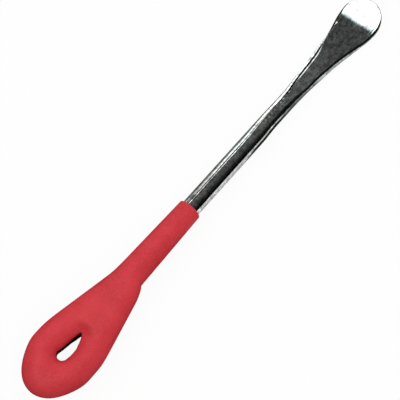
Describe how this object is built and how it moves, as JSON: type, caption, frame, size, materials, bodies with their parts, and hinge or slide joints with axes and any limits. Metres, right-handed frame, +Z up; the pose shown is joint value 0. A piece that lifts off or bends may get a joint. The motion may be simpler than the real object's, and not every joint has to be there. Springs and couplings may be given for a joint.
{
  "type": "tyre lever",
  "caption": "Spoon-end tyre lever: a plated round bar forged into a flat, upturned spoon, its other end bent into a closed eye under a thick dipped grip with a teardrop hanging hole.",
  "frame": {"origin": "middle of the part's length and width, on the surface that it lies on", "axes": "+X along the length from the eye to the spoon, +Z up from the surface, the way the spoon's tip turns"},
  "size_m": [0.254, 0.0334, 0.0158],
  "materials": {
    "plated_steel": "bright plated",
    "dipped_grip": "matte, dipped"
  },
  "bodies": {
    "root": {"lever_bar": "plated_steel", "grip": "dipped_grip"}
  },
  "joints": []
}
